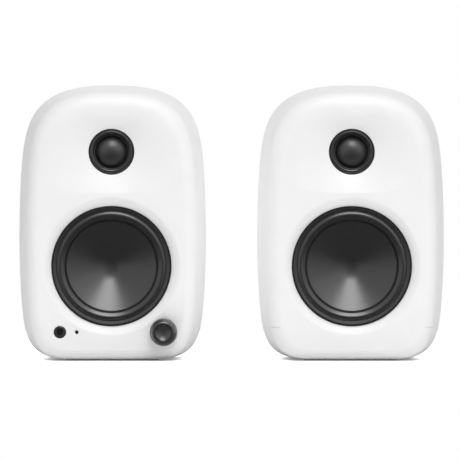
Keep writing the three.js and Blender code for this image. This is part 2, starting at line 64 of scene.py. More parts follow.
def span(node):
    """A CAD node's lowest and highest corner, in millimetres, in the shared frame."""
    low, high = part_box(node)
    return Vector(low) / MM, Vector(high) / MM


def speaker_origin(label):
    """The point on the table under the middle of a speaker's flat front."""
    low, high = span(f"{label}_front_baffle")
    return Vector(((low.x + high.x) / 2, low.y, 0))


ORIGIN = {label: speaker_origin(label) for label in LABELS}


def extent(node):
    """A CAD node's corners in its own speaker's frame, and the middle between them."""
    low, high = span(node)
    nearest = min(LABELS, key=lambda label: abs(ORIGIN[label].x - (low.x + high.x) / 2))
    return low - ORIGIN[nearest], high - ORIGIN[nearest], (low + high) / 2 - ORIGIN[nearest]


# ---- dimensions, taken from the frame where it has them ----

SHELL_LOW, SHELL_HIGH, _ = extent("active_rear_cabinet")
HALF_WIDTH = (SHELL_HIGH.x - SHELL_LOW.x) / 2
HEIGHT = SHELL_HIGH.z
PROUD = SHELL_LOW.z
DEPTH = SHELL_HIGH.y
SEAM = extent("active_front_baffle")[1].y
SEAM_GAP = SHELL_LOW.y - SEAM
SEAM_EDGE = 0.25  # soft edge each side of the seam
WIDEST = 48
WALL = 3
FRONT_WALL = 5
REAR_WALL = 6
FRONT_FILLET = 8
REAR_FILLET = 12
WOOFER_Z = extent("active_woofer_cone")[2].z
WOOFER_HOLE, WOOFER_BEVEL, BEVEL_DEPTH = 37.1, 42.5, 3.6
TWEETER_Z = extent("active_tweeter_dome")[2].z
TWEETER_HOLE, BOSS_RADIUS, BOSS_BACK = 14.2, 24, 9
DISH_HALF_WIDTH, DISH_UP, DISH_DOWN, DISH_DEPTH = 42, 24.4, 25.6, 5
FACE_MARGIN = 1.4
MARK_Z = 20.8  # of two faint lines on the passive front
KNOB = extent("volume_knob")[2]
JACK = extent("headphone_jack")[2]
LIGHT = extent("status_light_pipe")[2]
PANEL_LOW, PANEL_HIGH, PANEL = extent("active_rear_panel")
FLANGE = PANEL_HIGH.y + 0.3
GAP = 0.3  # clearance round a piece in its recess


# ---- building closed meshes ----

class Skin:
    """Rings of points and the faces between them, gathered into one closed mesh."""

    def __init__(self):
        self.points = []
        self.faces = []

    def loop(self, points):
        """Adds points and returns their numbers."""
        start = len(self.points)
        self.points += points
        return list(range(start, len(self.points)))

    def ring(self, outline, depth):
        """Adds an outline of (x, z) pairs at one depth, or at one depth per point."""
        depths = depth if hasattr(depth, "__len__") else [depth] * len(outline)
        return self.loop([(x, y, z) for (x, z), y in zip(outline, depths)])

    def bridge(self, *rings):
        for a, b in zip(rings, rings[1:]):
            for i in range(len(a)):
                j = (i + 1) % len(a)
                self.faces.append((a[i], a[j], b[j], b[i]))

    def fill(self, outer, *holes):
        """A flat face inside one ring and outside the others."""
        if not holes:
            self.faces.append(tuple(outer))
            return
        loops = [outer, *holes]
        order = [i for loop in loops for i in loop]
        corners = [[Vector(self.points[i]) for i in loop] for loop in loops]
        self.faces += [tuple(order[i] for i in face) for face in tessellate_polygon(corners)]

    def solid(self, *rings):
        """Bridges the rings and closes the first and the last."""
        self.bridge(*rings)
        self.fill(rings[0])
        self.fill(rings[-1])
        return self


def add_object(name, data):
    made = bpy.data.objects.new(name, data)
    bpy.context.scene.collection.objects.link(made)
    return made


def mesh_object(name, skin, label, smooth=38):
    """The skin as an object in the shared frame, smooth except where it turns sharply."""
    origin = ORIGIN[label]
    mesh = bpy.data.meshes.new(name)
    mesh.from_pydata([(Vector(p) + origin) * MM for p in skin.points], [], skin.faces)
    work = bmesh.new()
    work.from_mesh(mesh)
    bmesh.ops.remove_doubles(work, verts=work.verts, dist=1e-7)
    bmesh.ops.recalc_face_normals(work, faces=work.faces)
    work.to_mesh(mesh)
    work.free()
    mesh.polygons.foreach_set("use_smooth", [True] * len(mesh.polygons))
    mesh.set_sharp_from_angle(angle=math.radians(smooth))
    return add_object(name, mesh)


def place(piece, body, finish, *nodes, slot=None):
    """Sets the piece on its body with its material. Its normals are weighed, so that
    large flat faces keep their own shading next to narrow rounded edges."""
    modifier = piece.modifiers.new("weighted normals", "WEIGHTED_NORMAL")
    modifier.keep_sharp = True
    modifier.weight = 100
    piece.data.materials.append(MATERIALS[finish])
    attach(piece, body)
    if nodes:
        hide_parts(*nodes)


# ---- outlines ----

def circle(radius, steps=96, x=0.0, z=0.0):
    angles = [2 * math.pi * i / steps for i in range(steps)]
    return [(x + radius * math.cos(a), z + radius * math.sin(a)) for a in angles]


def rounded_rectangle(width, height, corner, x=0.0, z=0.0, steps=8):
    points = []
    centres = [(1, 1, 0), (-1, 1, 90), (-1, -1, 180), (1, -1, 270)]
    for side_x, side_z, start in centres:
        for i in range(steps + 1):
            angle = math.radians(start + 90 * i / steps)
            points.append((
                x + side_x * (width / 2 - corner) + corner * math.cos(angle),
                z + side_z * (height / 2 - corner) + corner * math.sin(angle),
            ))
    return points


def growing_circle(radius, x=0.0, z=0.0, steps=64):
    """An outline that slab() can grow or shrink to round its edge."""
    return lambda grow: circle(radius + grow, steps, x, z)


def growing_rectangle(width, height, corner, x=0.0, z=0.0, steps=8):
    return lambda grow: rounded_rectangle(
        width + 2 * grow, height + 2 * grow, max(0.05, corner + grow), x, z, steps)


def rounded(profile, radius, steps=5):
    """A closed profile with each corner cut to an arc of about that radius."""
    result = []
    count = len(profile)
    for i, corner in enumerate(profile):
        before, here = Vector(profile[i - 1]), Vector(corner)
        after = Vector(profile[(i + 1) % count])
        if here.x == 0:
            result.append(tuple(here))
            continue
        back, ahead = before - here, after - here
        reach = min(radius, 0.45 * back.length, 0.45 * ahead.length)
        start, end = here + back.normalized() * reach, here + ahead.normalized() * reach
        for step in range(steps + 1):
            t = step / steps
            point = start * (1 - t) ** 2 + here * 2 * t * (1 - t) + end * t ** 2
            result.append(tuple(point))
    return result


# ---- shapes made of rings ----

def turned(skin, profile, x=0.0, z=0.0, steps=128):
    """A closed profile of (radius, depth) pairs turned about the Y axis at (x, z)."""
    rings = []
    for radius, depth in profile:
        if radius == 0:
            rings.append(skin.ring([(x, z)], depth))
        else:
            rings.append(skin.ring(circle(radius, steps, x, z), depth))
    for a, b in zip(rings, rings[1:] + rings[:1]):
        if len(a) > 1 and len(b) > 1:
            skin.bridge(a, b)
        elif len(a) > 1 or len(b) > 1:
            ring, tip = (a, b) if len(a) > 1 else (b, a)
            skin.faces += [(ring[i], ring[(i + 1) % steps], tip[0]) for i in range(steps)]
    return skin


def slab(skin, outer, near, far, wells=(), edge=0.3, neck=None):
    """A plate between two depths with a rounded far edge.

    Each well is (outline, floor), sunk from the far side; a floor of None goes
    right through. neck is (outline, depth): a narrower body on the near side.
    """
    turns = [math.radians(30 * i) for i in range(4)]

    def rim(outline, sign):
        return [
            skin.ring(outline(sign * edge * (1 - math.cos(a))), far - edge + edge * math.sin(a))
            for a in turns
        ]

    sides = [skin.ring(outer(0), near), *rim(outer, -1)]
    skin.bridge(*sides)
    tops, through = [], []
    for outline, floor in wells:
        rings = rim(outline, 1)
        end = skin.ring(outline(0), near if floor is None else floor)
        skin.bridge(*reversed(rings), end)
        tops.append(rings[-1])
        if floor is None:
            through.append(end)
        else:
            skin.fill(end)
    skin.fill(sides[-1], *tops)
    if neck:
        outline, start = neck
        collar, tail = skin.ring(outline(0), near), skin.ring(outline(0), start)
        skin.bridge(collar, tail)
        skin.fill(tail)
        through.append(collar)
    skin.fill(sides[0], *through)
    return skin


# ---- the cabinet ----

def outline_heights(fine):
    """Shares of the way from the widest height to the top or base, 0 to 1, crowded
    where the outline turns fastest. fine is the power of the round corner."""
    flat = [0.6 * i / 14 for i in range(14)]
    first = math.asin(0.6 ** fine)
    turns = [first + (math.pi / 2 - first) * i / 40 for i in range(41)]
    return flat + [math.sin(turn) ** (1 / fine) for turn in turns]


def cabinet_outline():
    """The front outline, up the left side and down the right."""
    tall = HEIGHT - PROUD
    waist = 0.439 * tall
    right = []
    for fall in reversed(outline_heights(5)[1:]):
        corner = 0.58 + 0.42 * math.sqrt(max(0.0, 1 - fall ** 10))
        right.append((HALF_WIDTH * (1 - 0.09 * fall ** 2) * corner, waist * (1 - fall)))
    for rise in outline_heights(3.5)[:-1]:
        corner = max(0.0, 1 - rise ** 7) ** 0.4
        right.append((HALF_WIDTH * (1 - 0.1 * rise ** 2) * corner, waist + (tall - waist) * rise))
    left = [(-x, z) for x, z in right]
    return [*left, (0.0, tall), *reversed(right)]


OUTLINE = cabinet_outline()


def quarter_round(distance, radius):
    return math.sqrt(1 - max(0.0, 1 - distance / radius) ** 2)


def section(depth, wall=0.0):
    """The cabinet's outline at one depth, or its inside where wall is given."""
    forward = max(0.0, 1 - depth / WIDEST) ** 1.3
    rearward = max(0.0, (depth - WIDEST) / (DEPTH - WIDEST)) ** 1.6
    front = 1 - quarter_round(depth, FRONT_FILLET)
    rear = 1 - quarter_round(DEPTH - depth, REAR_FILLET)
    side = 6.4 * front + 12 * rear + wall
    top = 9.5 * front + 12 * rear + wall
    lift = 6 * front + 10 * rear + wall
    wide = 1 - 0.115 * forward - 0.05 * rearward - side / HALF_WIDTH
    tall = 1 - 0.038 * forward - 0.02 * rearward - (top + lift) / HEIGHT
    return [(x * wide, PROUD + lift + z * tall) for x, z in OUTLINE]


FACE = section(0)


def shrunk(outline, amount):
    """The outline drawn in a little towards its middle."""
    middle = sum(z for _, z in outline) / len(outline)
    return [(x * (1 - amount), middle + (z - middle) * (1 - amount)) for x, z in outline]


def face_depth(x, z):
    """Depth of the front shell at (x, z): 0 on its flat face."""
    way = 0.0 if x > 0 else math.pi
    depths = [step / 10 for step in range(int(10 * SEAM))]
    return next(depth for depth in depths if reach_of(section(depth), way, z) >= abs(x))


def reach_of(outline, angle, z):
    """How far the outline is from (0, z) in that direction."""
    way, start = Vector((math.cos(angle), math.sin(angle))), Vector((0, z))
    for a, b in zip(outline, [*outline[1:], outline[0]]):
        a, side = Vector(a) - start, Vector(b) - Vector(a)
        turn = way.cross(side)
        if abs(turn) > 1e-9 and a.cross(side) / turn > 0 and 0 <= a.cross(way) / turn <= 1:
            return a.cross(side) / turn
    raise ValueError("the outline does not go round the point")


def dish_edge(angle):
    """How far the dish reaches from the tweeter's axis: nearly straight below."""
    c, s = abs(math.cos(angle)), math.sin(angle)
    reach, power = (DISH_UP, 2.2) if s > 0 else (DISH_DOWN, 3.2)
    free = ((c / DISH_HALF_WIDTH) ** power + (abs(s) / reach) ** power) ** (-1 / power)
    return min(free, reach_of(FACE, angle, TWEETER_Z) - FACE_MARGIN)


def dish_depth(angle, left):
    """Depth of the dish: an even slope below the tweeter, and a hollow curve above it."""
    even = 0.2 + 0.6 * max(0.0, -math.sin(angle)) ** 1.5
    return DISH_DEPTH * (even * left + (1 - even) * left * left)


def dish_rings(skin, steps=160, stages=16):
    """Rings from just outside the dish, down its slope, to the tweeter's throat."""
    angles = [2 * math.pi * i / steps for i in range(steps)]
    edges = [dish_edge(angle) for angle in angles]

    def ring(left, beyond=0.0):
        points = []
        for angle, edge in zip(angles, edges):
            reach = edge + beyond + (TWEETER_HOLE - edge) * left
            x, z = reach * math.cos(angle), TWEETER_Z + reach * math.sin(angle)
            points.append((x, dish_depth(angle, left), z))
        return skin.loop(points)

    rings = [ring(0, beyond=0.3), *(ring(stage / stages) for stage in range(stages + 1))]
    throat = [(TWEETER_HOLE * math.cos(a), TWEETER_Z + TWEETER_HOLE * math.sin(a)) for a in angles]
    rings.append(skin.ring(throat, BOSS_BACK))
    return rings


def bevel_rings(skin, steps=160, stages=8):
    """Rings from just outside the woofer's bevel down to the inside of the wall."""
    rings = [skin.ring(circle(WOOFER_BEVEL + 0.4, steps, z=WOOFER_Z), 0.0)]
    for stage in range(stages + 1):
        share = stage / stages
        radius = WOOFER_BEVEL + (WOOFER_HOLE - WOOFER_BEVEL) * share
        depth = BEVEL_DEPTH * (0.49 * share + 0.51 * share * share)
        rings.append(skin.ring(circle(radius, steps, z=WOOFER_Z), depth))
    rings.append(skin.ring(circle(WOOFER_HOLE, steps, z=WOOFER_Z), FRONT_WALL))
    return rings


def control_holes(active):
    """(radius, x, z) of the holes through the front for the controls."""
    if not active:
        return []
    return [(3.5, KNOB.x, KNOB.z), (3.85, JACK.x, JACK.z), (1.15, LIGHT.x, LIGHT.z)]


def front_baffle(label):
    skin = Skin()
    fillet = [FRONT_FILLET * (1 - math.cos(math.radians(90 * i / 16))) for i in range(17)]
    depths = [*fillet, 12, 16, 20, SEAM - SEAM_EDGE]
    outside = [skin.ring(section(depth), depth) for depth in depths]
    outside.append(skin.ring(shrunk(section(SEAM), 0.004), SEAM))
    rim = skin.ring(section(SEAM, WALL), SEAM)
    inside = [skin.ring(section(depth, WALL), depth) for depth in (16, FRONT_FILLET)]
    floor = skin.ring(section(FRONT_FILLET, WALL), FRONT_WALL)
    skin.bridge(*outside, rim, *inside, floor)
    collar = skin.ring(shrunk(section(0), 0.008), 0.0)
    skin.bridge(outside[0], collar)

    dish, bevel = dish_rings(skin), bevel_rings(skin)
    skin.bridge(*dish)
    skin.bridge(*bevel)
    boss_end = skin.ring(circle(BOSS_RADIUS, len(dish[0]), z=TWEETER_Z), BOSS_BACK)
    boss = skin.ring(circle(BOSS_RADIUS, len(dish[0]), z=TWEETER_Z), FRONT_WALL)
    skin.bridge(dish[-1], boss_end, boss)

    mouths, exits = [dish[0], bevel[0]], [boss, bevel[-1]]
    for radius, x, z in control_holes(label == "active"):
        edge = ((0.65, 0), (0.35, 0), (0.12, 0.12), (0, 0.35), (0, FRONT_WALL))
        rings = [skin.ring(circle(radius + wider, 48, x, z), depth) for wider, depth in edge]
        skin.bridge(*rings)
        mouths.append(rings[0])
        exits.append(rings[-1])
    skin.fill(collar, *mouths)
    skin.fill(floor, *exits)
    return mesh_object(f"{label}_front_moulding", skin, label)


def rear_cabinet(label):
    skin = Skin()
    seam = SEAM + SEAM_GAP
    round_end = [REAR_FILLET * math.sin(math.radians(90 * i / 16)) for i in range(17)]
    depths = [seam + SEAM_EDGE, 36, 42, WIDEST, 56, 66, 78, 92, 106, 118]
    depths += [DEPTH - REAR_FILLET + step for step in round_end]
    outside = [skin.ring(shrunk(section(seam), 0.004), seam)]
    outside += [skin.ring(section(depth), depth) for depth in depths]
    collar = skin.ring(shrunk(section(DEPTH), 0.01), DEPTH)
    skin.bridge(*outside, collar)

    inner_end = DEPTH - REAR_WALL
    inside = [skin.ring(section(depth, WALL), depth) for depth in (seam, WIDEST, 90, 128)]
    inner_wall = skin.ring(section(128, WALL), inner_end)
    skin.bridge(outside[0], *inside, inner_wall)

    width, height = PANEL_HIGH.x - PANEL_LOW.x, PANEL_HIGH.z - PANEL_LOW.z
    lip = PANEL_LOW.y - GAP
    recess = growing_rectangle(width + 2 * GAP, height + 2 * GAP, 7.3, z=PANEL.z)
    opening = growing_rectangle(width - 6.4, height - 6.4, 4, z=PANEL.z)
    mouth = [skin.ring(recess(0.7), DEPTH), skin.ring(recess(0.3), DEPTH)]
    mouth += [skin.ring(recess(0), DEPTH - 0.3), skin.ring(recess(0), lip)]
    neck = [skin.ring(opening(0), lip), skin.ring(opening(0), inner_end)]
    skin.bridge(*mouth, *neck)
    skin.fill(collar, mouth[0])
    skin.fill(inner_wall, neck[-1])
    piece = mesh_object(f"{label}_rear_moulding", skin, label)
    cut_pad_pocket(piece, label)
    return piece


def cut_pad_pocket(piece, label):
    """Sinks the pocket that the base pad sits in."""
    low, high, _ = extent(f"{label}_base_pad")
    pocket = Skin()
    size_x, size_y = high.x - low.x + 2 * GAP, high.y - low.y + 2 * GAP
    outline = rounded_rectangle(size_x, size_y, 8.3, z=(low.y + high.y) / 2)
    pocket.solid(pocket.ring(outline, -1.0), pocket.ring(outline, high.z + GAP))
    pocket.points = [(x, z, y) for x, y, z in pocket.points]
    tool = mesh_object("pocket_tool", pocket, label)
    modifier = piece.modifiers.new("pocket", "BOOLEAN")
    modifier.operation, modifier.solver, modifier.object = "DIFFERENCE", "EXACT", tool
    apply_modifiers(piece)
    bpy.data.objects.remove(tool)


def apply_modifiers(piece):
    """Keeps the shape that the piece's modifiers give it, and drops them."""
    bpy.context.view_layer.update()
    evaluated = piece.evaluated_get(bpy.context.evaluated_depsgraph_get())
    mesh = bpy.data.meshes.new_from_object(evaluated)
    mesh.set_sharp_from_angle(angle=math.radians(38))
    piece.modifiers.clear()
    piece.data = mesh


def base_pad(label):
    low, high, _ = extent(f"{label}_base_pad")
    skin = Skin()
    outline = growing_rectangle(high.x - low.x, high.y - low.y, 8, z=(low.y + high.y) / 2)
    slab(skin, outline, -high.z, -low.z, edge=0.4)
    skin.points = [(x, z, -y) for x, y, z in skin.points]
    return mesh_object(f"{label}_rubber_pad", skin, label)


# ---- materials ----

class Nodes:
    """Short calls for the nodes of one material."""

    def __init__(self, name):
        self.material = bpy.data.materials.new(name)
        self.material.use_nodes = True
        self.tree = self.material.node_tree
        self.shader = next(n for n in self.tree.nodes if n.type == "BSDF_PRINCIPLED")
        coordinates = self.tree.nodes.new("ShaderNodeTexCoord")
        self.place = coordinates.outputs["Object"]

    def add(self, kind, links=(), **settings):
        node = self.tree.nodes.new(kind)
        for name, value in settings.items():
            if hasattr(node, name):
                setattr(node, name, value)
            else:
                node.inputs[name.replace("_", " ").title()].default_value = value
        for socket, source in dict(links).items():
            self.tree.links.new(source, node.inputs[socket])
        return node

    def noise(self, scale, detail=3.0, rough=0.5):
        values = {"Scale": scale, "Detail": detail, "Roughness": rough}
        return self.add("ShaderNodeTexNoise", {"Vector": self.place}, **values).outputs["Fac"]

    def ramp(self, source, low, high, start=0.0, end=1.0):
        """The source's 0 to 1 turned into a blend of two colours or greys."""
        node = self.add("ShaderNodeValToRGB", {"Fac": source})
        first, last = node.color_ramp.elements
        first.position, last.position = start, end
        first.color, last.color = colour(low), colour(high)
        return node.outputs["Color"]

    def math(self, operation, a, b):
        node = self.add("ShaderNodeMath", operation=operation)
        for socket, value in zip(node.inputs, (a, b)):
            if isinstance(value, (int, float)):
                socket.default_value = value
            else:
                self.tree.links.new(value, socket)
        return node.outputs[0]

    def bump(self, *layers):
        """Bump from (height, strength, depth in millimetres) layers, fine ones last."""
        normal = None
        for height, strength, depth in layers:
            links = {"Height": height, "Normal": normal} if normal else {"Height": height}
            node = self.add("ShaderNodeBump", links, Strength=strength, Distance=depth * MM)
            normal = node.outputs["Normal"]
        self.tree.links.new(normal, self.shader.inputs["Normal"])

    def set(self, **sockets):
        for name, value in sockets.items():
            socket = self.shader.inputs[name.replace("_", " ")]
            if isinstance(value, bpy.types.NodeSocket):
                self.tree.links.new(value, socket)
            else:
                socket.default_value = value
        return self.material


def colour(value):
    """A grey, or three parts, as red, green, blue and alpha."""
    return (value, value, value, 1.0) if isinstance(value, (int, float)) else (*value, 1.0)


def moulded(name, dark, light, roughness, grain=0.012, specular=0.5):
    """Moulded or painted plastic: fine texture and a slight unevenness of gloss."""
    nodes = Nodes(name)
    broad, fine = nodes.noise(60.0, 4.0), nodes.noise(4200.0, 2.0)
    nodes.bump((nodes.noise(350.0, 2.0), 0.12, 0.01), (fine, 0.35, grain))
    return nodes.set(
        Specular_IOR_Level=specular,
        Base_Color=nodes.ramp(broad, dark, light, 0.3, 0.7),
        Roughness=nodes.ramp(nodes.noise(900.0, 2.0), roughness - 0.03, roughness + 0.03),
    )


def rubber(name, shade, roughness):
    nodes = Nodes(name)
    nodes.bump((nodes.noise(2500.0, 3.0), 0.25, 0.01))
    return nodes.set(
        Specular_IOR_Level=0.9,
        Base_Color=nodes.ramp(nodes.noise(140.0, 4.0), shade * 0.85, shade * 1.2, 0.3, 0.7),
        Roughness=nodes.ramp(nodes.noise(700.0, 3.0), roughness - 0.05, roughness + 0.05),
    )


def coated_cone(name):
    """A pressed fibre cone under a smooth dark coat with a faint fleck."""
    nodes = Nodes(name)
    flecks = nodes.noise(6500.0, 2.0, 0.7)
    fibres = nodes.noise(1300.0, 5.0, 0.65)
    nodes.bump((fibres, 0.1, 0.01), (flecks, 0.1, 0.004))
    return nodes.set(
        Specular_IOR_Level=1.0,
        Base_Color=nodes.ramp(flecks, 0.008, 0.016, 0.35, 0.7),
        Roughness=nodes.ramp(fibres, 0.31, 0.37, 0.3, 0.7),
    )


def woven(name, low, high, pitch, roughness, coat=0.0):
    """A plain weave: two sets of threads at right angles, seen along the Y axis."""
    nodes = Nodes(name)
    waves = []
    for direction in ("X", "Z"):
        node = nodes.add(
            "ShaderNodeTexWave", {"Vector": nodes.place}, bands_direction=direction,
            Scale=0.314 / (pitch * MM), Distortion=0.15)
        waves.append(node.outputs["Fac"])
    threads = nodes.math("MULTIPLY", waves[0], waves[1])
    nodes.bump((threads, 0.5, 0.04), (nodes.noise(3000.0, 2.0), 0.2, 0.01))
    return nodes.set(
        Sheen_Weight=0.15, Sheen_Roughness=0.4, Coat_Weight=coat, Coat_Roughness=0.35,
        Base_Color=nodes.ramp(threads, low, high), Roughness=roughness)


def metal(name, shade, roughness, streaks=0.06):
    nodes = Nodes(name)
    drift = nodes.noise(250.0, 5.0, 0.6)
    nodes.bump((nodes.noise(1800.0, 3.0), 0.2, 0.01))
    low, high = ([part * 0.9 for part in shade], [min(1.0, part * 1.08) for part in shade])
    return nodes.set(
        Metallic=1.0,
        Base_Color=nodes.ramp(drift, low, high, 0.3, 0.7),
        Roughness=nodes.ramp(drift, roughness - streaks, roughness + streaks),
    )


def circuit_board(name):
    """Solder resist with lighter copper tracks showing through."""
    nodes = Nodes(name)
    cells = nodes.add(
        "ShaderNodeTexVoronoi", {"Vector": nodes.place}, distance="MANHATTAN", Scale=420.0)
    nodes.bump((cells.outputs["Distance"], 0.2, 0.02))
    tracks = nodes.ramp(cells.outputs["Distance"], (0.01, 0.07, 0.03), (0.03, 0.2, 0.09), 0.2, 0.6)
    return nodes.set(Base_Color=tracks, Roughness=0.4, Coat_Weight=0.3)


# One finish for each of the record's material slots, and two for socket inserts. The white insert's
# darker grey also paints shade along two raised lines on the passive front.
MATERIALS = {
    "white_moulding": moulded("white_moulding", 0.82, 0.835, 0.42, grain=0.008),
    "black_trim": moulded("black_trim", 0.012, 0.018, 0.22, grain=0.008, specular=0.9),
    "knob_grey": moulded("knob_grey", 0.017, 0.023, 0.32, grain=0.01, specular=0.9),
    "roll_rubber": rubber("roll_rubber", 0.011, 0.3),
    "cone_composite": coated_cone("cone_composite"),
    "dome_silk": woven("dome_silk", 0.012, 0.03, 0.32, 0.45, coat=0.75),
    "pad_rubber": rubber("pad_rubber", 0.02, 0.75),
    "stamped_steel": metal("stamped_steel", (0.58, 0.58, 0.57), 0.32),
    "black_steel": moulded("black_steel", 0.008, 0.012, 0.5, grain=0.03),
    "ferrite": moulded("ferrite", 0.02, 0.035, 0.6, grain=0.03),
    "copper_winding": metal("copper_winding", (0.62, 0.28, 0.12), 0.35),
    "spider_cloth": woven("spider_cloth", (0.35, 0.2, 0.06), (0.62, 0.4, 0.15), 0.6, 0.8),
    "heatsink_aluminium": metal("heatsink_aluminium", (0.7, 0.71, 0.72), 0.4),
    "circuit_board": circuit_board("circuit_board"),
    "light_pipe": moulded("light_pipe", 0.006, 0.01, 0.15, grain=0.004),
    "red_lever": moulded("red_lever", (0.42, 0.01, 0.008), (0.5, 0.015, 0.01), 0.3),
    "black_lever": moulded("black_lever", 0.01, 0.015, 0.3),
    "white_insert_and_mark_shade": moulded("white_insert_and_mark_shade", 0.64, 0.68, 0.4),
    "red_insert": moulded("red_insert", (0.45, 0.012, 0.01), (0.52, 0.02, 0.012), 0.35),
}


def put(name, skin, label, body, finish, *nodes, slot=None):
    """Makes the object, with its finish's material, riding on its body."""
    place(mesh_object(name, skin, label), body, finish, *nodes, slot=slot)


def fit(name, skin, label, finish, *nodes, slot=None):
    """Puts a piece on its speaker's own body, which stays still."""
    put(name, skin, label, f"{label}_speaker", finish, *nodes, slot=slot)


# ---- the drivers ----

def rubber_edge(label, driver, part, name, profiles, z, steps=128):
    """A driver's rubber edge in two halves. The outer one stays, on the speaker's body, in place of
    the CAD surround. The inner one is left in the shared frame, on no body."""
    root, moving = f"{label}_speaker", f"{label}_{driver}_{part}_and_coil"
    for half, profile in zip(("outer", "inner"), profiles):
        skin = turned(Skin(), profile, z=z, steps=steps)
        piece = mesh_object(f"{label}_{name}_{half}", skin, label, 60)
        piece.data.materials.append(MATERIALS["roll_rubber"])
        if half == "outer":
            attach(piece, root)
            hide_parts(f"{label}_{driver}_surround")
        else:
            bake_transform(piece)


ROLL_RADIUS, ROLL_CREST, ROLL_FOOT = 31.6, 1.6, 4.7
CONE_RIM, CONE_RIM_DEPTH, CONE_SLOPE, CONE_NECK = 27.55, 5.75, 0.53, 9.8


def woofer_surround(label):
    """A half roll with a gasket round it and a narrow groove at the cone's rim."""

    def flank(outward, *bends, count=7):
        """Down from the crest along arcs, each with its radius and the tilt it ends at."""
        points, tilt = [(ROLL_RADIUS, ROLL_CREST)], 0
        for bend, end in bends:
            for i in range(count):
                a, b = (math.radians(tilt + (end - tilt) * (i + k) / count) for k in (0, 1))
                radius = points[-1][0] + outward * bend * (math.sin(b) - math.sin(a))
                points.append((radius, points[-1][1] + bend * (math.cos(a) - math.cos(b))))
            tilt = end
        return points

    gasket = [(33.95, 3.04), (34.1, 2.99), (35.6, 2.43), (35.8, 2.38), (35.9, 2.5), (35.92, 5.05)]
    outer_back = [(38.0, 5.05), (38.0, 5.25), (34.3, 5.25), (33.3, 3.6), (32.4, 2.45), (31.6, 2.2)]
    outer = [*flank(1, (2.42, 48)), *gasket, *outer_back]
    groove = [(28.12, 5.0), (28.08, 5.9), (27.7, 5.95), (27.6, 6.35)]
    inner_back = [(28.65, 6.4), (28.75, 4.4), (29.6, 3.3), (30.7, 2.45), (31.6, 2.2)]
    inner = [*flank(-1, (1.6, 29), (12.4, 38), (2.44, 82)), *groove, *inner_back]
    rubber_edge(label, "woofer", "cone", "surround", (outer, inner), WOOFER_Z,
                steps=160)


def cone_face(radius):
    """Depth of the cone's face: straight sides, and a round middle they run into."""
    straight = CONE_RIM_DEPTH + CONE_SLOPE * (CONE_RIM - max(radius, CONE_NECK))
    inner = min(radius, CONE_NECK)
    return straight + CONE_SLOPE * (CONE_NECK ** 2 - inner ** 2) / (2 * CONE_NECK)


def woofer_cone(label):
    radii = [CONE_RIM * i / 30 for i in range(31)]
    front = [(radius, cone_face(radius)) for radius in radii]
    back = [(radius, depth + 0.8) for radius, depth in reversed(front)]
    rim = [(CONE_RIM + 0.12, front[-1][1] + 0.15), (CONE_RIM + 0.12, front[-1][1] + 0.6)]
    skin = turned(Skin(), [*front, *rim, *back], z=WOOFER_Z, steps=192)
    put(f"{label}_cone", skin, label, f"{label}_woofer_cone_and_coil", "cone_composite",
        f"{label}_woofer_cone")


def woofer_basket(label):
    """The pressed frame's rim, seen in the gap round the surround, and its spokes."""
    skin = Skin()
    rim = rounded([(34.9, 5.3), (41, 5.3), (41, 8.3), (36.6, 8.3), (34.9, 7.6)], 0.4)
    turned(skin, rim, z=WOOFER_Z, steps=128)
    seat = rounded([
        (28.3, 21.2), (29.3, 18.4), (31.0, 18.4), (29.6, 23.0), (20.0, 23.0), (20.0, 21.4),
    ], 0.4)
    turned(skin, seat, z=WOOFER_Z, steps=96)
    for i in range(6):
        add_spoke(skin, math.radians(60 * i + 30))
    fit(f"{label}_basket", skin, label, "black_steel", f"{label}_woofer_basket")


def add_spoke(skin, angle):
    """One sloping leg from the basket's rim to its seat."""
    across = Vector((-math.sin(angle), math.cos(angle)))
    outward = Vector((math.cos(angle), math.sin(angle)))
    rings = []
    for radius, depth, half in ((35.9, 7.9, 9.0), (34.0, 12.5, 6.5), (30.3, 19.6, 7.5)):
        ring = []
        for side, lift in ((-1, 0), (1, 0), (1, 1.3), (-1, 1.3)):
            x, z = outward * (radius + lift * 0.9) + across * side * half
            ring.append((x, depth + lift * 0.4, z + WOOFER_Z))
        rings.append(skin.loop(ring))
    skin.solid(*rings)


DOME_RADIUS, DOME_FRONT, DOME_RISE, SILK = 9.0, 2.8, 5.3, 0.3
TROUGH, TROUGH_DEPTH, TROUGH_RISE = 10.3, 8.75, 0.65  # the dome's rubber edge


def tweeter_plate(label):
    """The faceplate, with a round bead about the dome."""
    turns = [math.radians(angle) for angle in range(190, -1, -10)]
    bead = [(12.15 + 1.2 * math.cos(a), 6.75 - 1.2 * math.sin(a)) for a in turns]
    flange = [
        (13.4, 6.9), (13.9, 7.0), (13.9, 9.3), (19, 9.3), (19, 11.3), (11.6, 11.3), (11.6, 7.6),
    ]
    skin = turned(Skin(), [*bead, *flange], z=TWEETER_Z)
    fit(f"{label}_tweeter_plate", skin, label, "black_trim", f"{label}_tweeter_faceplate")


def tweeter_dome(label):
    """A thin round cap on its former."""
    cap = (DOME_RADIUS ** 2 + DOME_RISE ** 2) / (2 * DOME_RISE)
    sweep = math.asin(DOME_RADIUS / cap)
    turns = [sweep * i / 20 for i in range(21)]
    dome = [(cap * math.sin(turn), DOME_FRONT + cap * (1 - math.cos(turn))) for turn in turns]
    inside = [(max(0.0, r - 0.12 * (r / DOME_RADIUS)), depth + SILK) for r, depth in reversed(dome)]
    former = [(DOME_RADIUS, 8.4), (DOME_RADIUS, 14.0), (8.6, 14.0), (8.6, 8.6)]
    skin = turned(Skin(), [*dome, *former, *inside[1:]], z=TWEETER_Z)
    put(f"{label}_dome", skin, label, f"{label}_tweeter_dome_and_coil", "dome_silk",
        f"{label}_tweeter_dome")


